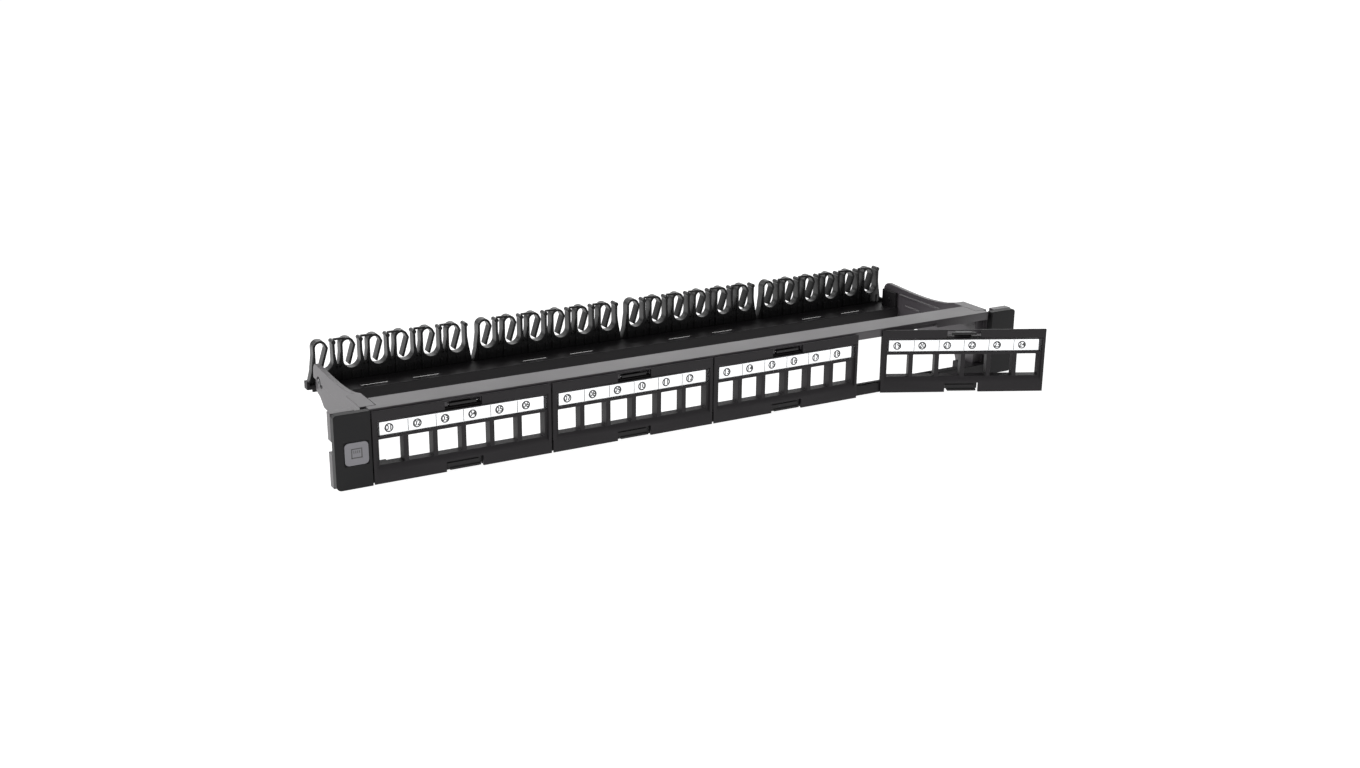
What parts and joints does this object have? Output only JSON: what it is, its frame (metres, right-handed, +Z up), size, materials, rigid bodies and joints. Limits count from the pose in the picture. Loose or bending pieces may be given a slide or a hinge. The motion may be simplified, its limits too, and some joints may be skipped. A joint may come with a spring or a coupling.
{
  "type": "patch panel",
  "caption": "Modular 19-inch, one-unit patch panel with swing-out keystone modules, label strips, push-fit end caps and a rear cable comb.",
  "frame": {"origin": "centre of the four rack slots, on the plane where the backs of the ears meet the rack", "axes": "+X along the panel to the viewer's right, +Y rearwards into the rack, +Z up"},
  "size_m": [0.4826, 0.1745, 0.052],
  "materials": {
    "satin_black": "satin moulded, fine grain",
    "frame_black": "matte moulded",
    "comb_black": "satin moulded",
    "module_charcoal": "satin moulded",
    "latch_black": "satin moulded",
    "cap_charcoal": "satin moulded",
    "label_paper": "printed card",
    "label_clear": "clear glossy",
    "badge_grey": "printed grey",
    "steel": "bright zinc"
  },
  "bodies": {
    "frame": {"top_rail": "satin_black", "bottom_rail": "frame_black", "left_bracket": "satin_black", "right_bracket": "satin_black", "rear_tray": "frame_black", "cable_comb_1": "comb_black", "cable_comb_2": "comb_black", "cable_comb_3": "comb_black", "cable_comb_4": "comb_black", "rail_screws": "steel", "tray_screws": "steel"},
    "pivot_1": {"hinge_pin_1": "steel"},
    "module_1": {"port_module_1": "module_charcoal", "label_card_1": "label_paper", "label_cover_1": "label_clear"},
    "upper_latch_1": {"top_latch_1": "latch_black"},
    "lower_latch_1": {"bottom_latch_1": "latch_black"},
    "pivot_2": {"hinge_pin_2": "steel"},
    "module_2": {"port_module_2": "module_charcoal", "label_card_2": "label_paper", "label_cover_2": "label_clear"},
    "upper_latch_2": {"top_latch_2": "latch_black"},
    "lower_latch_2": {"bottom_latch_2": "latch_black"},
    "pivot_3": {"hinge_pin_3": "steel"},
    "module_3": {"port_module_3": "module_charcoal", "label_card_3": "label_paper", "label_cover_3": "label_clear"},
    "upper_latch_3": {"top_latch_3": "latch_black"},
    "lower_latch_3": {"bottom_latch_3": "latch_black"},
    "pivot_4": {"hinge_pin_4": "steel"},
    "module_4": {"port_module_4": "module_charcoal", "label_card_4": "label_paper", "label_cover_4": "label_clear"},
    "upper_latch_4": {"top_latch_4": "latch_black"},
    "lower_latch_4": {"bottom_latch_4": "latch_black"},
    "left_cap": {"left_cap": "cap_charcoal", "badge": "badge_grey"},
    "right_cap": {"right_cap": "cap_charcoal"}
  },
  "joints": [
    {"name": "pin_slide_1", "type": "slide", "parent": "frame", "child": "pivot_1", "axis": [1, 0, 0], "range_m": [0, 0.021]},
    {"name": "module_swing_1", "type": "hinge", "parent": "pivot_1", "child": "module_1", "pos_m": [-0.2176, -0.0066, 0], "axis": [0, 0, 1], "range_deg": [-26, 0]},
    {"name": "upper_latch_press_1", "type": "slide", "parent": "module_1", "child": "upper_latch_1", "axis": [0, 0, -1], "range_m": [0, 0.0011], "stiffness_N_per_m": 600},
    {"name": "lower_latch_press_1", "type": "slide", "parent": "module_1", "child": "lower_latch_1", "axis": [0, 0, 1], "range_m": [0, 0.001], "stiffness_N_per_m": 600},
    {"name": "pin_slide_2", "type": "slide", "parent": "frame", "child": "pivot_2", "axis": [1, 0, 0], "range_m": [0, 0.021]},
    {"name": "module_swing_2", "type": "hinge", "parent": "pivot_2", "child": "module_2", "pos_m": [-0.1076, -0.0066, 0], "axis": [0, 0, 1], "range_deg": [-26, 0]},
    {"name": "upper_latch_press_2", "type": "slide", "parent": "module_2", "child": "upper_latch_2", "axis": [0, 0, -1], "range_m": [0, 0.0011], "stiffness_N_per_m": 600},
    {"name": "lower_latch_press_2", "type": "slide", "parent": "module_2", "child": "lower_latch_2", "axis": [0, 0, 1], "range_m": [0, 0.001], "stiffness_N_per_m": 600},
    {"name": "pin_slide_3", "type": "slide", "parent": "frame", "child": "pivot_3", "axis": [1, 0, 0], "range_m": [0, 0.021]},
    {"name": "module_swing_3", "type": "hinge", "parent": "pivot_3", "child": "module_3", "pos_m": [0.0024, -0.0066, 0], "axis": [0, 0, 1], "range_deg": [-26, 0]},
    {"name": "upper_latch_press_3", "type": "slide", "parent": "module_3", "child": "upper_latch_3", "axis": [0, 0, -1], "range_m": [0, 0.0011], "stiffness_N_per_m": 600},
    {"name": "lower_latch_press_3", "type": "slide", "parent": "module_3", "child": "lower_latch_3", "axis": [0, 0, 1], "range_m": [0, 0.001], "stiffness_N_per_m": 600},
    {"name": "pin_slide_4", "type": "slide", "parent": "frame", "child": "pivot_4", "axis": [1, 0, 0], "range_m": [-0.021, 0]},
    {"name": "module_swing_4", "type": "hinge", "parent": "pivot_4", "child": "module_4", "pos_m": [0.1334, -0.0066, 0], "axis": [0, 0, 1], "range_deg": [0, 26]},
    {"name": "upper_latch_press_4", "type": "slide", "parent": "module_4", "child": "upper_latch_4", "axis": [0, 0, -1], "range_m": [0, 0.0011], "stiffness_N_per_m": 600},
    {"name": "lower_latch_press_4", "type": "slide", "parent": "module_4", "child": "lower_latch_4", "axis": [0, 0, 1], "range_m": [0, 0.001], "stiffness_N_per_m": 600},
    {"name": "left_cap_pull", "type": "slide", "parent": "frame", "child": "left_cap", "axis": [0, -1, 0], "range_m": [0, 0.012]},
    {"name": "right_cap_pull", "type": "slide", "parent": "frame", "child": "right_cap", "axis": [0, -1, 0], "range_m": [0, 0.012]}
  ],
  "couplings": [
    {"joint": "pin_slide_1", "follows": "module_swing_1", "m_per_rad": -0.04627},
    {"joint": "pin_slide_2", "follows": "module_swing_2", "m_per_rad": -0.04627},
    {"joint": "pin_slide_3", "follows": "module_swing_3", "m_per_rad": -0.04627},
    {"joint": "pin_slide_4", "follows": "module_swing_4", "m_per_rad": -0.04627}
  ]
}
